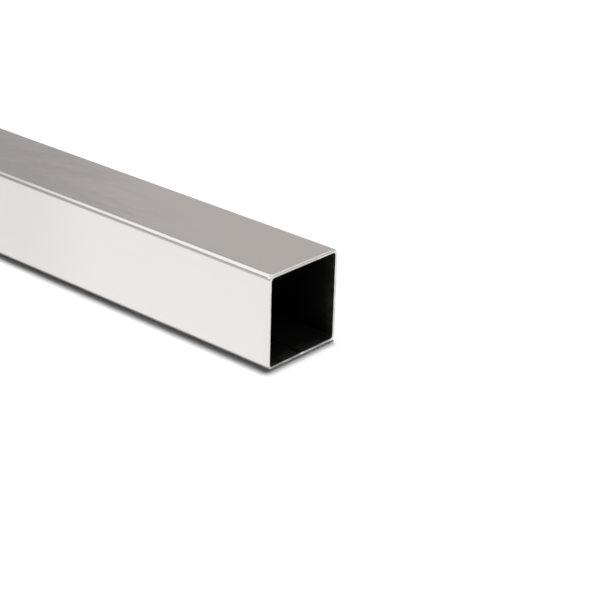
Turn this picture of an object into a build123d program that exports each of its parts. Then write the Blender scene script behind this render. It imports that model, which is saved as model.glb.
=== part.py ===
"""One length of square stainless tube: rolled from strip, seam-welded, polished outside and sawn to length.

The tube lies on its seam side, with its length along X. The origin is the middle of the face that it rests on,
with +Z up. Its section is the same all the way along, so it is drawn once, upright across one end, and extruded
to the other. Only the two sawn ends are dressed. All sizes are in millimetres.
"""

import os

from build123d import *

# Section
side = 40.0  # outside width across the flats, the same both ways
wall = 1.5  # thickness of the strip that the tube is rolled from
corner_radius = 2.5  # outside radius that the rolls leave on the corners
bore_radius = 1.25  # inside radius of the corners, where the bent strip is a little thicker than in the flats
bead_width = 3.0  # foot of the weld bead that the seam leaves inside
bead_height = 0.2  # how far the rolled-down bead stands above the inside face

# Length
length = 1000.0  # a cut length that tube of this section is sold in

# Sawn ends
outer_round = 0.8  # radius that the polishing leaves on the outer edge of the cut
inner_break = 0.25  # chamfer that takes the burr off the inner edge

# What follows from those sizes
bore = side - 2 * wall
bead_root = wall / 2  # the bead is drawn from half way down in the wall, so that the two are one

with BuildPart() as square_tube:
    # The bent strip: a rounded square with a rounded square hollow
    with BuildSketch(Plane.YZ.offset(-length / 2)) as section:
        with Locations((0, side / 2)):
            RectangleRounded(side, side, corner_radius)
            Rectangle(bore, bore, mode=Mode.SUBTRACT)
        fillet(section.face().inner_wires().vertices(), radius=bore_radius)

        # The weld bead: a low crown along the middle of the bottom wall
        with BuildLine():
            left_toe = (-bead_width / 2, wall)
            right_toe = (bead_width / 2, wall)
            Polyline(left_toe, (-bead_width / 2, bead_root), (bead_width / 2, bead_root), right_toe)
            ThreePointArc(right_toe, (0, wall + bead_height), left_toe)
        make_face()
    extrude(amount=length)

    # Each sawn end has a rounded outer edge and a broken inner one
    sawn_ends = square_tube.faces().filter_by(Axis.X)
    outer_edges = sawn_ends.wires().sort_by(SortBy.LENGTH)[-2:].edges()
    inner_edges = sawn_ends.wires().sort_by(SortBy.LENGTH)[:2].edges()
    fillet(outer_edges, radius=outer_round)
    chamfer(inner_edges, length=inner_break)

square_tube.part.label = "square_tube"
os.makedirs("parts", exist_ok=True)
export_step(square_tube.part, "parts/square_tube.step")
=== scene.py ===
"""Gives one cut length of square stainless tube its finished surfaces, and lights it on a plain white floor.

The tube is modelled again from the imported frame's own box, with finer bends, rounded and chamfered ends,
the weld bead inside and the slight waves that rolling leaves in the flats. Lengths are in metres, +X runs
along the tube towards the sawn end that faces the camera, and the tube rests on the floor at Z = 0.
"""

import math

import bmesh
import bpy
from bpy.props import FloatProperty, FloatVectorProperty, IntProperty, PointerProperty
from mathutils import Matrix, Vector


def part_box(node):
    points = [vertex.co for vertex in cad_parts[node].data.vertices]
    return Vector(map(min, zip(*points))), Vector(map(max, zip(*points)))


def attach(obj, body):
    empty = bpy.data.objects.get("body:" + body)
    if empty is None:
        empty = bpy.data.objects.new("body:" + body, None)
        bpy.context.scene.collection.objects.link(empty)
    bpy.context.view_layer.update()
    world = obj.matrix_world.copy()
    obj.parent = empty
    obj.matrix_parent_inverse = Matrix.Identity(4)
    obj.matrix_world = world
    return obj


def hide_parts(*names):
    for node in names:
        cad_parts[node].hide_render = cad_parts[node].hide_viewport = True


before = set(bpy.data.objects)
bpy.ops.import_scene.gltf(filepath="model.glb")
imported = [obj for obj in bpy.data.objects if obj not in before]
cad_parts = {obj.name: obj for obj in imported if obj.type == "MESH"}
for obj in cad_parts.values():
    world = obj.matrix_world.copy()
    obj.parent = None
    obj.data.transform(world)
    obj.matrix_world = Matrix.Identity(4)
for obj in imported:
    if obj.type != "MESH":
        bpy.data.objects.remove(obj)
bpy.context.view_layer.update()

bl_info = {
    "name": "Square Stainless Tube",
    "version": (1, 0, 0),
    "blender": (4, 5, 0),
    "location": "View3D > Sidebar > Tube",
    "description": "Models and finishes a cut length of square stainless tube and sets up its studio",
    "category": "Object",
}

MM = 0.001
NEAR = 0.02 * MM  # two places closer than this are the same place
FLOOR_GAP = 0.02 * MM  # the floor lies this far under the tube, so that the two never share a face
TUBE_LOW, TUBE_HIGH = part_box("square_tube")
WHITE = (1.0, 1.0, 1.0)
WHOLE_TURN = 2 * math.pi

PICTURE = 600  # width and height of the camera's picture, in pixels
END_IN_PICTURE = Vector((303.4, 309.7))  # where the middle of the open end falls, from the top left corner
SENSOR = 36.0  # width of the camera's sensor, in millimetres

# Heights above the floor, in degrees, over which each part of the dome gives way to the next
HORIZON_TO_WALLS = (1, 8)
WALLS_TO_LAMP = (33, 49)
LAMP_TO_ZENITH = (56, 80)


class TubeSizes(bpy.types.PropertyGroup):
    """Sizes of the tube and how finely it is divided."""

    length: FloatProperty(
        name="Length", description="Cut length of the tube",
        default=TUBE_HIGH.x - TUBE_LOW.x, unit="LENGTH", subtype="DISTANCE")
    side: FloatProperty(
        name="Side", description="Outside width across the flats",
        default=TUBE_HIGH.z - TUBE_LOW.z, unit="LENGTH", subtype="DISTANCE")
    wall: FloatProperty(
        name="Wall", description="Thickness of the strip",
        default=1.5 * MM, unit="LENGTH", subtype="DISTANCE")
    corner_radius: FloatProperty(
        name="Corner radius", description="Outside radius of the four bends",
        default=2.5 * MM, unit="LENGTH", subtype="DISTANCE")
    bore_radius: FloatProperty(
        name="Bore radius", description="Inside radius of the four corners of the hollow",
        default=1.25 * MM, unit="LENGTH", subtype="DISTANCE")
    round_depth: FloatProperty(
        name="Round depth", description="How far in across the wall a sawn end's outer edge is rounded",
        default=0.8 * MM, unit="LENGTH", subtype="DISTANCE")
    round_reach: FloatProperty(
        name="Round reach", description="How far along the tube that rounding starts before the end",
        default=1.6 * MM, unit="LENGTH", subtype="DISTANCE")
    inner_break: FloatProperty(
        name="Inner break", description="Chamfer on the inner edge of each sawn end",
        default=0.25 * MM, unit="LENGTH", subtype="DISTANCE")
    bead_width: FloatProperty(
        name="Bead width", description="Width of the weld bead inside",
        default=3.0 * MM, unit="LENGTH", subtype="DISTANCE")
    bead_height: FloatProperty(
        name="Bead height", description="Height of the rolled-down weld bead",
        default=0.2 * MM, unit="LENGTH", subtype="DISTANCE")
    wave_depth: FloatProperty(
        name="Wave depth", description="How far the rolled flats dip at most",
        default=0.08 * MM, unit="LENGTH", subtype="DISTANCE")
    wave_length: FloatProperty(
        name="Wave length", description="Size of one dip along the flats",
        default=90 * MM, unit="LENGTH", subtype="DISTANCE")
    bend_steps: IntProperty(
        name="Bend steps", description="Strips round each corner bend", default=24, min=3)
    round_steps: IntProperty(
        name="Round steps", description="Strips round the outer edge of a sawn end", default=10, min=2)
    bead_steps: IntProperty(
        name="Bead steps", description="Strips across the weld bead", default=8, min=4)
    length_steps: IntProperty(
        name="Length steps", description="Rings along the tube", default=100, min=10)
    flat_steps: IntProperty(
        name="Flat steps", description="Strips across each flat", default=6, min=2)


class SteelFinish(bpy.types.PropertyGroup):
    """Colours and gloss of the steel."""

    polished: FloatVectorProperty(
        name="Polished steel", description="Colour of the polished outside",
        default=(0.800, 0.766, 0.740), subtype="COLOR", min=0.0, max=1.0)
    # Near black: the inside's scale, and painted shade of the deep hollow
    mill_scale_and_shade: FloatVectorProperty(
        name="Mill finish and shade", description="Colour of the unpolished inside",
        default=(0.05, 0.049, 0.047), subtype="COLOR", min=0.0, max=1.0)
    # Painted light: a lighter inside colour near each mouth, where light reaches a little way into the
    # hollow
    painted_light_in_mouth: FloatVectorProperty(
        name="Dressed mouth", description="Colour of the inside where the edge's dressing reaches into it",
        default=(0.17, 0.166, 0.16), subtype="COLOR", min=0.0, max=1.0)
    sawn: FloatVectorProperty(
        name="Sawn steel", description="Colour of the bare sawn lip",
        default=(0.77, 0.75, 0.73), subtype="COLOR", min=0.0, max=1.0)
    heat_tint: FloatVectorProperty(
        name="Heat tint", description="Colour of the inside right beside the weld",
        default=(0.05, 0.042, 0.032), subtype="COLOR", min=0.0, max=1.0)
    weld_straw: FloatVectorProperty(
        name="Weld straw", description="Colour of the weld bead where the heat left it straw",
        default=(0.075, 0.064, 0.05), subtype="COLOR", min=0.0, max=1.0)
    weld_blue: FloatVectorProperty(
        name="Weld blue", description="Colour of the weld bead where the heat left it blue",
        default=(0.055, 0.057, 0.066), subtype="COLOR", min=0.0, max=1.0)
    polished_roughness: FloatProperty(
        name="Polished roughness", description="Roughness of the polished outside",
        default=0.11, subtype="FACTOR", min=0.0, max=1.0)
    mill_roughness: FloatProperty(
        name="Mill roughness", description="Roughness of the inside",
        default=0.5, subtype="FACTOR", min=0.0, max=1.0)
    sawn_roughness: FloatProperty(
        name="Sawn roughness", description="Roughness of the sawn lip",
        default=0.18, subtype="FACTOR", min=0.0, max=1.0)


class Studio(bpy.types.PropertyGroup):
    """The floor, the light round the tube and the camera."""

    floor_size: FloatProperty(
        name="Floor size", description="Width of the floor",
        default=120.0, unit="LENGTH", subtype="DISTANCE")
    floor_white: FloatProperty(
        name="Floor white", description="How white the floor is", default=0.9, min=0.0, max=1.0)
    key_light: FloatProperty(
        name="Key light", description="Light that falls on the floor from above, 1 for plain white",
        default=1.04, min=0.0)
    key_spread: FloatProperty(
        name="Key spread", description="How wide the key light is, which softens the edge of the shadow",
        default=math.radians(7.0), unit="ROTATION", subtype="ANGLE")
    key_behind: FloatProperty(
        name="Key behind", description="How far the key light hangs back past the tube, off the camera",
        default=math.radians(3.4), unit="ROTATION", subtype="ANGLE")
    key_along: FloatProperty(
        name="Key along", description="How far the key light hangs back along the tube, off its near end",
        default=math.radians(2.2), unit="ROTATION", subtype="ANGLE")
    fill_light: FloatProperty(
        name="Fill light", description="Light that reaches the floor from all round", default=0.1, min=0.0)
    top_light: FloatProperty(
        name="Top light", description="Brightness of the soft light overhead, as the steel mirrors it",
        default=1.175, min=0.0)
    zenith_light: FloatProperty(
        name="Zenith light", description="Brightness straight overhead, inside the ring of soft light",
        default=0.78, min=0.0)
    top_lean: FloatProperty(
        name="Top lean", description="How far the soft light overhead leans to the front",
        default=math.radians(4.0), unit="ROTATION", subtype="ANGLE")
    wall_light: FloatProperty(
        name="Wall light", description="Brightness of the grey studio walls, as the steel mirrors them",
        default=0.525, min=0.0)
    far_wall_light: FloatProperty(
        name="Far wall light", description="Brightness of the walls beyond the tube's far end",
        default=0.432, min=0.0)
    front_wall_light: FloatProperty(
        name="Front wall light", description="Brightness of the walls on the camera's side of the tube",
        default=0.615, min=0.0)
    wall_tint: FloatVectorProperty(
        name="Wall tint", description="Cast of the studio walls",
        default=(1.0, 0.971, 0.957), subtype="COLOR", min=0.0)
    top_tint: FloatVectorProperty(
        name="Top tint", description="Cast of the soft light overhead",
        default=(0.985, 1.0, 1.015), subtype="COLOR", min=0.0)
    fill_tint: FloatVectorProperty(
        name="Fill tint", description="Cast of the fill light",
        default=(0.97, 1.0, 1.04), subtype="COLOR", min=0.0)
    yaw: FloatProperty(
        name="Yaw", description="Turn of the camera round the tube from a square side view",
        default=math.radians(40.68), unit="ROTATION", subtype="ANGLE")
    pitch: FloatProperty(
        name="Pitch", description="How far the camera looks down",
        default=math.radians(24.42), unit="ROTATION", subtype="ANGLE")
    roll: FloatProperty(
        name="Roll", description="Tilt of the camera about its own line of sight",
        default=math.radians(1.79), unit="ROTATION", subtype="ANGLE")
    distance: FloatProperty(
        name="Distance", description="From the camera to the middle of the open end",
        default=649 * MM, unit="LENGTH", subtype="DISTANCE")
    lens: FloatProperty(
        name="Lens", description="Focal length on a 36 mm wide sensor",
        default=100.82, unit="CAMERA")


def select_only(kind, wanted):
    """In edit mode, leaves selected just the vertices, edges or faces that pass the test."""
    bpy.ops.mesh.select_mode(type=kind)
    bpy.ops.mesh.select_all(action="DESELECT")
    mesh = bpy.context.edit_object.data
    shape = bmesh.from_edit_mesh(mesh)
    items = {"VERT": shape.verts, "EDGE": shape.edges, "FACE": shape.faces}[kind]
    passed = [item for item in items if wanted(item)]
    if not passed:
        raise RuntimeError("no part of the mesh passes the test for the next step")
    for item in passed:
        item.select_set(True)
    shape.select_flush_mode()
    bmesh.update_edit_mesh(mesh)


def run_along(edge):
    """How far an edge goes along the tube."""
    return abs(edge.verts[1].co.x - edge.verts[0].co.x)


def depth_from_outside(sizes, place):
    """How deep a place lies below the outside of the section, from 0 to one wall on the inside."""
    straight = sizes.side / 2 - sizes.corner_radius
    across = abs(place.y) - straight
    up = abs(place.z - sizes.side / 2) - straight
    beyond = math.hypot(max(across, 0.0), max(up, 0.0))
    return sizes.corner_radius - beyond - min(max(across, up), 0.0)


def bar_with_bends(sizes):
    """Starts the tube as a solid bar with four bent corners, which stops where the rounded ends start."""
    bpy.ops.object.select_all(action="DESELECT")
    bpy.ops.mesh.primitive_cube_add(
        size=1.0, location=(0.0, 0.0, sizes.side / 2),
        scale=(sizes.length - 2 * sizes.round_reach, sizes.side, sizes.side))
    bpy.ops.object.transform_apply(location=True, rotation=False, scale=True)
    tube = bpy.context.active_object
    tube.name = "tube_of_stainless"
    tube.data.name = "tube_of_stainless"
    bpy.ops.object.mode_set(mode="EDIT")
    select_only("EDGE", lambda edge: run_along(edge) > sizes.length / 2)
    bpy.ops.mesh.bevel(
        offset=sizes.corner_radius, offset_type="OFFSET", segments=sizes.bend_steps, profile=0.5,
        affect="EDGES", clamp_overlap=False)
    return tube


def widen_inner_corners(sizes):
    """Gives the lip's inner outline its own corner radius, by enlarging each arc about its sharp corner."""
    edge_depth = sizes.wall - sizes.inner_break
    sharp = sizes.side / 2 - edge_depth
    arc = sizes.corner_radius - edge_depth
    reach = 1.1 * arc  # takes in the ends of the arc and nothing past them
    growth = (sizes.bore_radius + sizes.inner_break) / arc
    for across in (-1, 1):
        for up in (-1, 1):
            corner = Vector((0.0, across * sharp, sizes.side / 2 + up * sharp))

            def on_arc(vert):
                gap = vert.co - corner
                deep = depth_from_outside(sizes, vert.co) > edge_depth - NEAR
                return deep and max(abs(gap.y), abs(gap.z)) < reach

            select_only("VERT", on_arc)
            bpy.ops.transform.resize(value=(1.0, growth, growth), center_override=corner)


def dress_and_hollow(sizes):
    """Carries both ends out round their rims, over the flat lip and into the hollow, and opens it through.

    Each inset leaves its inner faces selected, so the next one goes on from there.
    """
    select_only("FACE", lambda face: abs(face.normal.x) > 0.5)
    turns = [WHOLE_TURN / 4 * step / sizes.round_steps for step in range(sizes.round_steps + 1)]
    for before, after in zip(turns, turns[1:]):
        inward = sizes.round_depth * (math.cos(before) - math.cos(after))
        outward = sizes.round_reach * (math.sin(after) - math.sin(before))
        bpy.ops.mesh.inset(thickness=inward, depth=outward, use_even_offset=True)
    lip = sizes.wall - sizes.round_depth - sizes.inner_break
    bpy.ops.mesh.inset(thickness=lip, depth=0.0, use_even_offset=True)
    widen_inner_corners(sizes)
    select_only("FACE", lambda face: len(face.verts) > 4)
    bpy.ops.mesh.inset(thickness=sizes.inner_break, depth=-sizes.inner_break, use_even_offset=True)
    bpy.ops.mesh.bridge_edge_loops()


def raise_weld_bead(sizes):
    """Divides the bottom wall along the weld and raises its low crown on the hollow's floor."""
    half = sizes.bead_width / 2
    lines = [half * (2 * step / sizes.bead_steps - 1) for step in range(sizes.bead_steps + 1)]
    for line in lines:
        select_only("FACE", lambda face: face.calc_center_median().z < sizes.wall + NEAR)
        bpy.ops.mesh.bisect(plane_co=(0.0, line, 0.0), plane_no=(0.0, 1.0, 0.0))
    for line in lines[1:-1]:
        crown = sizes.bead_height * (1 - (line / half) ** 2)
        toe = Vector((line, sizes.wall))
        select_only("VERT", lambda vert: (vert.co.yz - toe).length < NEAR)
        bpy.ops.transform.translate(value=(0.0, 0.0, crown))


def divide_flats(sizes):
    """Divides the long faces along and across, so that they can carry the rolling waves."""
    select_only("EDGE", lambda edge: run_along(edge) > sizes.length / 2)
    bpy.ops.mesh.subdivide(number_cuts=sizes.length_steps - 1)
    nearly_flat = 0.9 * (sizes.side - 2 * sizes.corner_radius)
    select_only("EDGE", lambda edge: run_along(edge) < NEAR and edge.calc_length() > nearly_flat)
    bpy.ops.mesh.subdivide(number_cuts=sizes.flat_steps - 1)
    bpy.ops.object.mode_set(mode="OBJECT")


def roll_waves(tube, sizes):
    """Lets the outside flats dip a little here and there, as the rolls leave them."""
    straight = sizes.side / 2 - sizes.corner_radius
    waves_end = sizes.length / 2 - 2 * sizes.round_reach
    skin = sizes.wall / 4
    weights = tube.vertex_groups.new(name="flats")
    for vert in tube.data.vertices:
        if abs(vert.co.x) > waves_end or depth_from_outside(sizes, vert.co) > skin:
            continue
        across = min(abs(vert.co.y), abs(vert.co.z - sizes.side / 2)) / straight
        weights.add([vert.index], max(0.0, 1 - across ** 2), "REPLACE")
    texture = bpy.data.textures.new("rolling_waves", "CLOUDS")
    texture.noise_scale = sizes.wave_length
    texture.noise_depth = 1
    bpy.ops.object.modifier_add(type="DISPLACE")
    waves = tube.modifiers[-1]
    waves.texture = texture
    waves.texture_coords = "LOCAL"
    waves.direction = "NORMAL"
    waves.mid_level = 1.0
    waves.strength = sizes.wave_depth
    waves.vertex_group = "flats"
    bpy.ops.object.modifier_apply(modifier=waves.name)
    tube.vertex_groups.remove(tube.vertex_groups["flats"])
    bpy.data.textures.remove(texture)


def smooth_bends(tube):
    """Shades the bends smooth, with the flats kept flat right up to them."""
    sharpest_smooth = math.radians(35)
    bpy.ops.object.shade_smooth_by_angle(angle=sharpest_smooth)
    bpy.ops.object.modifier_add(type="WEIGHTED_NORMAL")
    even = tube.modifiers[-1]
    even.keep_sharp = True
    bpy.ops.object.modifier_apply(modifier=even.name)


class NodeBench:
    """Places and joins shader nodes in one tree."""

    def __init__(self, tree):
        self.tree = tree

    def fill(self, socket, value):
        """Joins a socket to another node's output, or gives it a plain value."""
        if isinstance(value, bpy.types.NodeSocket):
            self.tree.links.new(value, socket)
        else:
            socket.default_value = value

    def add(self, kind, inputs=None, **settings):
        """A new node with its settings, and its inputs filled."""
        node = self.tree.nodes.new(kind)
        for name, value in settings.items():
            setattr(node, name, value)
        for name, value in (inputs or {}).items():
            self.fill(node.inputs[name], value)
        return node

    def group(self, tree, inputs):
        """Outputs of a node group placed with its own values."""
        return self.add("ShaderNodeGroup", inputs, node_tree=tree).outputs

    def math(self, operation, *values):
        """Output of a Math node."""
        return self.add("ShaderNodeMath", dict(enumerate(values)), operation=operation).outputs[0]

    def weighted(self, base, *parts):
        """A base value with other values added to it, each times its own weight."""
        total = base
        for value, weight in parts:
            total = self.math("ADD", self.math("MULTIPLY", value, weight), total)
        return total

    def blend(self, first, second, first_share):
        """Two masks as one, the first with its share and the second with the rest."""
        return self.weighted(0.0, (first, first_share), (second, 1 - first_share))

    def mix(self, share, first, second):
        """Output of a colour Mix node, from first to second."""
        node = self.add("ShaderNodeMix", data_type="RGBA")
        sockets = {socket.identifier: socket for socket in node.inputs}
        for name, value in (("Factor_Float", share), ("A_Color", first), ("B_Color", second)):
            self.fill(sockets[name], value)
        return next(socket for socket in node.outputs if socket.identifier == "Result_Color")

    def shades(self, share, colour, darkest, lightest):
        """One colour, from its darkest shade to its lightest, each a factor of it."""
        return self.mix(share, rgba(colour, darkest), rgba(colour, lightest))

    def range(self, value, low, high, to_low=0.0, to_high=1.0):
        """Output of a Map Range node, smooth at both ends."""
        node = self.add("ShaderNodeMapRange", {
            "Value": value, "From Min": low, "From Max": high, "To Min": to_low, "To Max": to_high,
        }, interpolation_type="SMOOTHSTEP")
        return node.outputs["Result"]

    def place(self):
        """Where a point of the surface lies on the piece."""
        return self.add("ShaderNodeTexCoord").outputs["Object"]

    def split(self, vector):
        """The X, Y and Z of a vector."""
        return self.add("ShaderNodeSeparateXYZ", {"Vector": vector}).outputs

    def noise(self, length, width, detail, roughness=0.5):
        """Soft noise with blots of one length along the tube and one width across it."""
        size = self.add("ShaderNodeCombineXYZ", {"X": length, "Y": width, "Z": width}).outputs[0]
        scaled = self.add("ShaderNodeVectorMath", {0: self.place(), 1: size}, operation="DIVIDE").outputs[0]
        node = self.add("ShaderNodeTexNoise", {
            "Vector": scaled, "Scale": 1.0, "Detail": detail, "Roughness": roughness})
        return node.outputs[0]


def cleared_bench(owner):
    """A bench on the emptied node tree of a material or a world."""
    owner.use_nodes = True
    owner.node_tree.nodes.clear()
    return NodeBench(owner.node_tree)


def rgba(colour, shade=1.0):
    """A colour with its alpha, darker or lighter by a factor."""
    return (*(channel * shade for channel in colour), 1.0)


def new_group(name, inputs, outputs):
    """An empty shader node group with named float inputs and outputs."""
    tree = bpy.data.node_groups.new(name, "ShaderNodeTree")
    for label, value in inputs:
        socket = tree.interface.new_socket(label, in_out="INPUT", socket_type="NodeSocketFloat")
        socket.default_value = value
    for label in outputs:
        tree.interface.new_socket(label, in_out="OUTPUT", socket_type="NodeSocketFloat")
    bench = NodeBench(tree)
    return bench, bench.add("NodeGroupInput").outputs, bench.add("NodeGroupOutput").inputs


def lengthwise_grain():
    """Fine lines along the tube, as a polishing belt or the rolls leave them."""
    bench, given, wanted = new_group(
        "Lengthwise grain", [("Line width", 0.25 * MM), ("Line length", 45 * MM)], ["Lines"])
    lines = bench.noise(given["Line length"], given["Line width"], detail=2.0, roughness=0.6)
    bench.fill(wanted["Lines"], lines)
    return bench.tree


def soft_patches():
    """Soft patches where the surface is duller or brighter."""
    bench, given, wanted = new_group("Soft patches", [("Patch size", 55 * MM)], ["Patches"])
    bench.fill(wanted["Patches"], bench.noise(given["Patch size"], given["Patch size"], detail=3.0))
    return bench.tree


def painted_shade_bands():
    """Painted shade: slow bands of darker and lighter colour along the tube, darker away from its lit near
    end.
    """
    bench, given, wanted = new_group(
        "Painted shade bands", [("Band length", 280 * MM), ("Band start", 390 * MM)], ["Bands"])
    along = bench.split(bench.place())["X"]
    bands = bench.math("DIVIDE", bench.math("SUBTRACT", along, given["Band start"]), given["Band length"])
    narrower = 1.4  # narrow bands to each wide one
    wide = bench.math("SINE", bench.math("MULTIPLY", bands, WHOLE_TURN))
    narrow = bench.math("SINE", bench.math("MULTIPLY", bands, WHOLE_TURN * narrower))
    wave = bench.blend(wide, narrow, first_share=0.6)
    bench.fill(wanted["Bands"], bench.range(wave, low=-0.9, high=0.5))
    return bench.tree


def rolling_ripples():
    """Very shallow ripples that the rolls leave in the flats, longer than they are wide."""
    bench, given, wanted = new_group(
        "Rolling ripples", [("Ripple width", 11 * MM), ("Ripple length", 18 * MM)], ["Height"])
    bench.fill(wanted["Height"], bench.noise(given["Ripple length"], given["Ripple width"], detail=2.0))
    return bench.tree


def painted_mouth_light(sizes):
    """Painted light near each mouth: how far light reaching into the hollow lightens its colour, unevenly in
    flecks.
    """
    bench, given, wanted = new_group(
        "Painted mouth light",
        [("Half length", sizes.length / 2), ("Reach", 7 * MM), ("Fleck size", 3 * MM)], ["Dressed"])
    along = bench.math("ABSOLUTE", bench.split(bench.place())["X"])
    inward = bench.math("DIVIDE", bench.math("SUBTRACT", given["Half length"], along), given["Reach"])
    flecks = bench.noise(given["Fleck size"], given["Fleck size"], detail=3.0)
    uneven = bench.range(flecks, low=0.35, high=0.65, to_low=0.35, to_high=1.0)
    bench.fill(wanted["Dressed"], bench.math("MULTIPLY", bench.range(inward, low=1.0, high=0.0), uneven))
    return bench.tree


def saw_lines():
    """Close parallel lines that the saw blade leaves across a sawn face."""
    bench, given, wanted = new_group("Saw lines", [("Line spacing", 0.25 * MM)], ["Lines"])
    split = bench.split(bench.place())
    climb = 0.35  # how much the lines climb across the face
    change = 0.02  # how little a line changes along its own length
    over = bench.weighted(split["Z"], (split["Y"], climb))
    along = bench.math("MULTIPLY", split["Y"], change)
    line = bench.add("ShaderNodeCombineXYZ", {
        "X": bench.math("DIVIDE", over, given["Line spacing"]),
        "Y": bench.math("DIVIDE", along, given["Line spacing"])}).outputs[0]
    noise = bench.add("ShaderNodeTexNoise", {"Vector": line, "Scale": 1.0, "Detail": 2.0})
    bench.fill(wanted["Lines"], noise.outputs[0])
    return bench.tree


def seam_distance():
    """How near the weld's middle a place in the bottom wall is, for its tint, and the ripples across it."""
    bench, given, wanted = new_group(
        "Seam distance", [("Half width", 1.5 * MM)], ["Near seam", "Ripples"])
    highest = 5 * MM  # only the bottom wall has the seam
    spacing = 0.8 * MM  # from one ripple to the next
    bow = 0.6 * MM  # how far a ripple bows along the tube
    split = bench.split(bench.place())
    out = bench.math("DIVIDE", bench.math("ABSOLUTE", split["Y"]), given["Half width"])
    low = bench.math("LESS_THAN", split["Z"], highest)
    near = bench.math("MULTIPLY", bench.range(out, low=1.0, high=0.0), low)
    bench.fill(wanted["Near seam"], near)
    bowed = bench.weighted(split["X"], (bench.math("MULTIPLY", out, out), bow))
    turns = bench.math("MULTIPLY", bench.math("DIVIDE", bowed, spacing), WHOLE_TURN)
    bench.fill(wanted["Ripples"], bench.math("MULTIPLY", bench.math("SINE", turns), near))
    return bench.tree


def new_material(name):
    """An empty material with its output and one metallic Principled shader, and that shader's inputs."""
    material = bpy.data.materials.new(name)
    bench = cleared_bench(material)
    steel = bench.add("ShaderNodeBsdfPrincipled", {"Metallic": 1.0})
    bench.add("ShaderNodeOutputMaterial", {"Surface": steel.outputs[0]})
    return material, bench, steel.inputs


def relief(bench, steel, height, distance, strength):
    """Shallow relief in the shader's normal, from a height."""
    bump = bench.add("ShaderNodeBump", {"Strength": strength, "Distance": distance, "Height": height})
    bench.fill(steel["Normal"], bump.outputs[0])


def polished_outside(finish, groups):
    """Fine polish of the outside: lengthwise grain, patches, bands of painted shade, shallow ripples and the
    seam below.
    """
    material, bench, steel = new_material("polished_outside")
    fine = bench.group(groups["grain"], {"Line width": 0.25 * MM, "Line length": 45 * MM})["Lines"]
    broad = bench.group(groups["grain"], {"Line width": 1.6 * MM, "Line length": 160 * MM})["Lines"]
    patches = bench.group(groups["patches"], {"Patch size": 55 * MM})["Patches"]
    # Painted shade: the bands darken the tube away from its near end
    bands = bench.group(groups["bands"], {"Band length": 280 * MM, "Band start": 390 * MM})["Bands"]
    ripples = bench.group(groups["ripples"], {"Ripple width": 11 * MM, "Ripple length": 18 * MM})["Height"]
    seam = bench.group(groups["seam"], {"Half width": 2.2 * MM})["Near seam"]
    lines = bench.blend(fine, broad, first_share=0.6)
    shade = bench.blend(lines, patches, first_share=0.6)
    # A shaded and a lit copy of the polished colour, each varied at random by grain and patches; the bands
    # mix them as painted shade
    dull_and_shaded = bench.shades(shade, finish.polished, darkest=0.885, lightest=0.93)
    bright = bench.shades(shade, finish.polished, darkest=0.98, lightest=1.02)
    bench.fill(steel["Base Color"], bench.mix(bands, dull_and_shaded, bright))
    polish_spread = 0.03  # how much rougher the grain and the patches each make the polish
    seam_spread = 0.12  # how much rougher the ground-off seam is
    smoothest = finish.polished_roughness - polish_spread
    rough = bench.weighted(smoothest, (lines, polish_spread), (patches, polish_spread), (seam, seam_spread))
    bench.fill(steel["Roughness"], rough)
    grain_depth = 0.02  # as a share of the depth of the ripples
    relief(bench, steel, bench.weighted(ripples, (lines, grain_depth)), distance=0.13 * MM, strength=1.0)
    return material


def mill_and_shade_inside(finish, groups):
    """Dull rolled finish of the hollow, its near-black colour partly scale and partly painted shade of the
    deep hollow, with the weld's heat tint and painted light near the mouths.
    """
    material, bench, steel = new_material("mill_and_shade_inside")
    lines = bench.group(groups["grain"], {"Line width": 0.8 * MM, "Line length": 30 * MM})["Lines"]
    patches = bench.group(groups["patches"], {"Patch size": 18 * MM})["Patches"]
    seam = bench.group(groups["seam"], {"Half width": 7 * MM})["Near seam"]
    painted_light_in_mouth = bench.group(groups["mouth"], {"Reach": 7 * MM, "Fleck size": 3 * MM})["Dressed"]
    strongest_tint = 0.4
    # The near-black mill colour is partly painted shade of the hollow
    colour = bench.shades(patches, finish.mill_scale_and_shade, darkest=0.75, lightest=1.25)
    colour = bench.mix(bench.math("MULTIPLY", seam, strongest_tint), colour, rgba(finish.heat_tint))
    # Painted light near each mouth lightens the inside colour, where light reaches in
    bench.fill(steel["Base Color"], bench.mix(painted_light_in_mouth, colour, rgba(finish.painted_light_in_mouth)))
    roughness_spread = 0.15
    smoothest = finish.mill_roughness - 0.07
    bench.fill(steel["Roughness"], bench.weighted(smoothest, (patches, roughness_spread)))
    relief(bench, steel, lines, distance=0.03 * MM, strength=0.4)
    return material


def sawn_lip(finish, groups):
    """Bare metal of the sawn ends, with fine saw lines, brighter where the dressing burnished it."""
    material, bench, steel = new_material("sawn_lip")
    lines = bench.group(groups["saw"], {"Line spacing": 0.25 * MM})["Lines"]
    patches = bench.group(groups["patches"], {"Patch size": 7 * MM})["Patches"]
    burnish = bench.range(patches, low=0.40, high=0.58)
    # Dull and burnished patches of the sawn metal, at random
    dull_and_shaded = bench.shades(lines, finish.sawn, darkest=0.60, lightest=0.74)
    bright = bench.shades(lines, finish.sawn, darkest=0.94, lightest=1.04)
    bench.fill(steel["Base Color"], bench.mix(burnish, dull_and_shaded, bright))
    roughness_spread = 0.12
    smoothest = finish.sawn_roughness - roughness_spread / 2
    bench.fill(steel["Roughness"], bench.weighted(smoothest, (lines, roughness_spread)))
    relief(bench, steel, lines, distance=0.02 * MM, strength=0.35)
    return material


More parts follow.
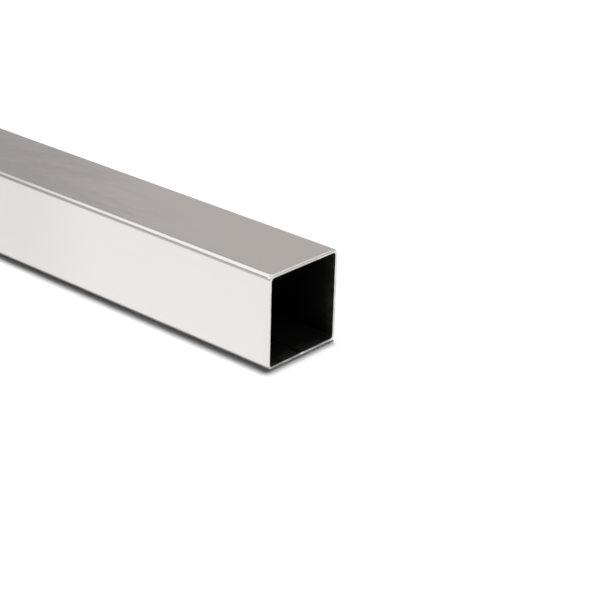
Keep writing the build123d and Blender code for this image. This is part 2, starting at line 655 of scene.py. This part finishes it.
def weld_bead(finish, groups):
    """The weld's own metal: rippled, with a dark straw and blue heat tint."""
    material, bench, steel = new_material("weld_bead")
    seam = bench.group(groups["seam"], {"Half width": 1.5 * MM})
    patches = bench.group(groups["patches"], {"Patch size": 6 * MM})["Patches"]
    bench.fill(steel["Base Color"], bench.mix(patches, rgba(finish.weld_straw), rgba(finish.weld_blue)))
    edge_roughness = 0.5
    middle_roughness = 0.36
    rough = bench.range(seam["Near seam"], 0.0, 1.0, edge_roughness, middle_roughness)
    bench.fill(steel["Roughness"], rough)
    relief(bench, steel, seam["Ripples"], distance=0.05 * MM, strength=0.8)
    return material


def surface_of(face, sizes):
    """Which material a face of the tube has."""
    middle = face.center
    depth = depth_from_outside(sizes, middle)
    faces_out = abs(face.normal.x) > 0.6
    rounding_ends = 0.98 * sizes.round_depth
    if faces_out and depth > rounding_ends:
        return sawn_lip
    over_weld = middle.z < sizes.side / 2 and abs(middle.y) < sizes.bead_width / 2
    if over_weld and depth > sizes.wall + NEAR:
        return weld_bead
    return mill_and_shade_inside if depth > sizes.wall / 2 else polished_outside


def finish_surfaces(tube, sizes, finish):
    """Gives the outside, the hollow, the weld and the sawn lips their own materials."""
    groups = {
        "grain": lengthwise_grain(),
        "patches": soft_patches(),
        "bands": painted_shade_bands(),
        "ripples": rolling_ripples(),
        "mouth": painted_mouth_light(sizes),
        "saw": saw_lines(),
        "seam": seam_distance(),
    }
    surfaces = (polished_outside, mill_and_shade_inside, sawn_lip, weld_bead)
    for surface in surfaces:
        tube.data.materials.append(surface(finish, groups))
    for face in tube.data.polygons:
        face.material_index = surfaces.index(surface_of(face, sizes))


class SQUARETUBE_OT_roll_tube(bpy.types.Operator):
    """Model the tube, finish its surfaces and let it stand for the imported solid"""

    bl_idname = "squaretube.roll_tube"
    bl_label = "Roll Tube"

    def execute(self, context):
        sizes = context.scene.tube_sizes
        tube = bar_with_bends(sizes)
        dress_and_hollow(sizes)
        raise_weld_bead(sizes)
        divide_flats(sizes)
        roll_waves(tube, sizes)
        finish_surfaces(tube, sizes, context.scene.steel_finish)
        smooth_bends(tube)
        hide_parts("square_tube")
        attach(tube, "root")
        return {"FINISHED"}


def white_floor(studio, sizes):
    """A plain white floor that keeps the tube's shadow.

    It can't be seen from below, and the tube's flat bottom, a hair's breadth above it, doesn't mirror it.
    """
    bpy.ops.object.select_all(action="DESELECT")
    bpy.ops.mesh.primitive_plane_add(size=studio.floor_size, location=(0.0, 0.0, -FLOOR_GAP))
    bpy.ops.object.transform_apply(location=True, rotation=False, scale=True)
    floor = bpy.context.active_object
    floor.name = "floor"
    material = bpy.data.materials.new("white_floor")
    bench = cleared_bench(material)
    paint = bench.add("ShaderNodeBsdfDiffuse", {"Color": rgba(WHITE, studio.floor_white)})
    clear = bench.add("ShaderNodeBsdfTransparent")
    below = bench.add("ShaderNodeNewGeometry").outputs["Backfacing"]
    flat_width = sizes.side - 2 * sizes.corner_radius
    flat_length = sizes.length - 2 * sizes.round_reach
    place = bench.split(bench.place())
    across = bench.math("LESS_THAN", bench.math("ABSOLUTE", place["Y"]), flat_width / 2)
    along = bench.math("LESS_THAN", bench.math("ABSOLUTE", place["X"]), flat_length / 2)
    mirrored = bench.add("ShaderNodeLightPath").outputs["Is Glossy Ray"]
    under_flat = bench.math("MULTIPLY", bench.math("MULTIPLY", across, along), mirrored)
    unseen = bench.math("MAXIMUM", below, under_flat)
    surface = bench.add("ShaderNodeMixShader", {0: unseen, 1: paint.outputs[0], 2: clear.outputs[0]})
    bench.add("ShaderNodeOutputMaterial", {"Surface": surface.outputs[0]})
    floor.data.materials.append(material)


def key_light(studio):
    """A soft light from nearly straight above, a little behind the tube, that the steel doesn't mirror."""
    lamp = bpy.data.lights.new("key_light", "SUN")
    lamp.energy = math.pi * studio.key_light
    lamp.angle = studio.key_spread
    light = bpy.data.objects.new("key_light", lamp)
    bpy.context.scene.collection.objects.link(light)
    light.visible_glossy = False
    towards = Vector((-math.tan(studio.key_along), math.tan(studio.key_behind), 1.0))
    light.rotation_euler = towards.to_track_quat("Z", "Y").to_euler()


def rise_between(bench, height, angles):
    """Goes from 0 to 1 between two angles above the floor, in degrees."""
    low, high = (math.sin(math.radians(angle)) for angle in angles)
    return bench.range(height, low, high)


def grey_walls(bench, split, studio):
    """The studio walls by direction: lighter in front of the tube, darker past its far end."""
    front = bench.range(split["Y"], low=0.2, high=-0.1)
    back_wall = rgba(studio.wall_tint, studio.wall_light)
    front_wall = rgba(studio.wall_tint, studio.front_wall_light)
    far_wall = rgba(studio.wall_tint, studio.far_wall_light)
    # The far wall's edge slopes, so that the top face mirrors it straight across the tube
    slope = 0.854
    sloped = bench.weighted(split["X"], (split["Z"], -slope))
    beside = bench.range(sloped, low=-1.021, high=-0.981)
    return bench.mix(beside, far_wall, bench.mix(front, back_wall, front_wall))


def soft_dome(studio):
    """What the steel mirrors: a white horizon, grey walls and a ring of soft light overhead.

    The floor gets only an even fill from it, and the camera sees plain white past the floor.
    """
    world = bpy.data.worlds.new("studio")
    bpy.context.scene.world = world
    bench = cleared_bench(world)
    split = bench.split(bench.add("ShaderNodeTexCoord").outputs["Generated"])
    over_horizon = rise_between(bench, split["Z"], HORIZON_TO_WALLS)
    walls = bench.mix(over_horizon, rgba(WHITE), grey_walls(bench, split, studio))
    over_lamp = rise_between(bench, split["Z"], LAMP_TO_ZENITH)
    ring = rgba(studio.top_tint, studio.top_light)
    lamp = bench.mix(over_lamp, ring, rgba(studio.top_tint, studio.zenith_light))
    lean = studio.top_lean
    leaning = bench.weighted(0.0, (split["Z"], math.cos(lean)), (split["Y"], -math.sin(lean)))
    mirrored = bench.mix(rise_between(bench, leaning, WALLS_TO_LAMP), walls, lamp)
    ray = bench.add("ShaderNodeLightPath").outputs
    not_by_floor = bench.math("LESS_THAN", ray["Diffuse Depth"], 1.0)
    in_steel = bench.math("MULTIPLY", ray["Is Glossy Ray"], not_by_floor)
    light = bench.mix(in_steel, rgba(studio.fill_tint, studio.fill_light), mirrored)
    light = bench.mix(ray["Is Camera Ray"], light, rgba(WHITE))
    sky = bench.add("ShaderNodeBackground", {"Color": light, "Strength": 1.0})
    bench.add("ShaderNodeOutputWorld", {"Surface": sky.outputs[0]})


def photo_camera(studio, sizes):
    """The camera where the photograph was taken from, aimed by where the open end falls in the picture."""
    focal_pixels = studio.lens / SENSOR * PICTURE
    level = math.cos(studio.pitch)
    back = Vector((math.sin(studio.yaw) * level, -math.cos(studio.yaw) * level, math.sin(studio.pitch)))
    right = Vector((math.cos(studio.yaw), math.sin(studio.yaw), 0.0))
    up = back.cross(right)
    turned_right = right * math.cos(studio.roll) + up * math.sin(studio.roll)
    turned_up = up * math.cos(studio.roll) - right * math.sin(studio.roll)
    aside = (END_IN_PICTURE.x - PICTURE / 2) / focal_pixels * studio.distance
    above = (PICTURE / 2 - END_IN_PICTURE.y) / focal_pixels * studio.distance
    end_middle = Vector((sizes.length / 2, 0.0, sizes.side / 2))
    place = end_middle - turned_right * aside - turned_up * above + back * studio.distance
    data = bpy.data.cameras.new("photo_camera")
    data.sensor_width = SENSOR
    data.lens = studio.lens
    data.clip_start = 10 * MM
    data.clip_end = 200.0  # past the corners of the floor
    camera = bpy.data.objects.new("photo_camera", data)
    bpy.context.scene.collection.objects.link(camera)
    axes = Matrix((turned_right, turned_up, back)).transposed().to_4x4()
    camera.matrix_world = Matrix.Translation(place) @ axes
    bpy.context.scene.camera = camera


class SQUARETUBE_OT_set_stage(bpy.types.Operator):
    """Lay the white floor, light it and place the camera"""

    bl_idname = "squaretube.set_stage"
    bl_label = "Set Stage"

    def execute(self, context):
        studio = context.scene.tube_studio
        white_floor(studio, context.scene.tube_sizes)
        key_light(studio)
        soft_dome(studio)
        photo_camera(studio, context.scene.tube_sizes)
        context.scene.view_settings.view_transform = "Standard"
        return {"FINISHED"}


class SQUARETUBE_PT_sidebar(bpy.types.Panel):
    """Lists the steps and the sizes, finishes and lights that they use"""

    bl_idname = "SQUARETUBE_PT_sidebar"
    bl_label = "Square Tube"
    bl_space_type = "VIEW_3D"
    bl_region_type = "UI"
    bl_category = "Tube"

    def draw(self, context):
        layout = self.layout
        for step in (SQUARETUBE_OT_roll_tube, SQUARETUBE_OT_set_stage):
            layout.operator(step.bl_idname)
        scene = context.scene
        for group in (scene.tube_sizes, scene.steel_finish, scene.tube_studio):
            box = layout.box()
            for name in group.__annotations__:
                box.prop(group, name)


CLASSES = (
    TubeSizes,
    SteelFinish,
    Studio,
    SQUARETUBE_OT_roll_tube,
    SQUARETUBE_OT_set_stage,
    SQUARETUBE_PT_sidebar,
)


def register():
    """Adds the classes and the scene's property groups."""
    for added in CLASSES:
        bpy.utils.register_class(added)
    bpy.types.Scene.tube_sizes = PointerProperty(type=TubeSizes)
    bpy.types.Scene.steel_finish = PointerProperty(type=SteelFinish)
    bpy.types.Scene.tube_studio = PointerProperty(type=Studio)


def unregister():
    """Takes them away again."""
    del bpy.types.Scene.tube_studio
    del bpy.types.Scene.steel_finish
    del bpy.types.Scene.tube_sizes
    for added in reversed(CLASSES):
        bpy.utils.unregister_class(added)


def main():
    """Runs the steps in order."""
    register()
    bpy.ops.squaretube.roll_tube()
    bpy.ops.squaretube.set_stage()


if __name__ == "__main__":
    main()
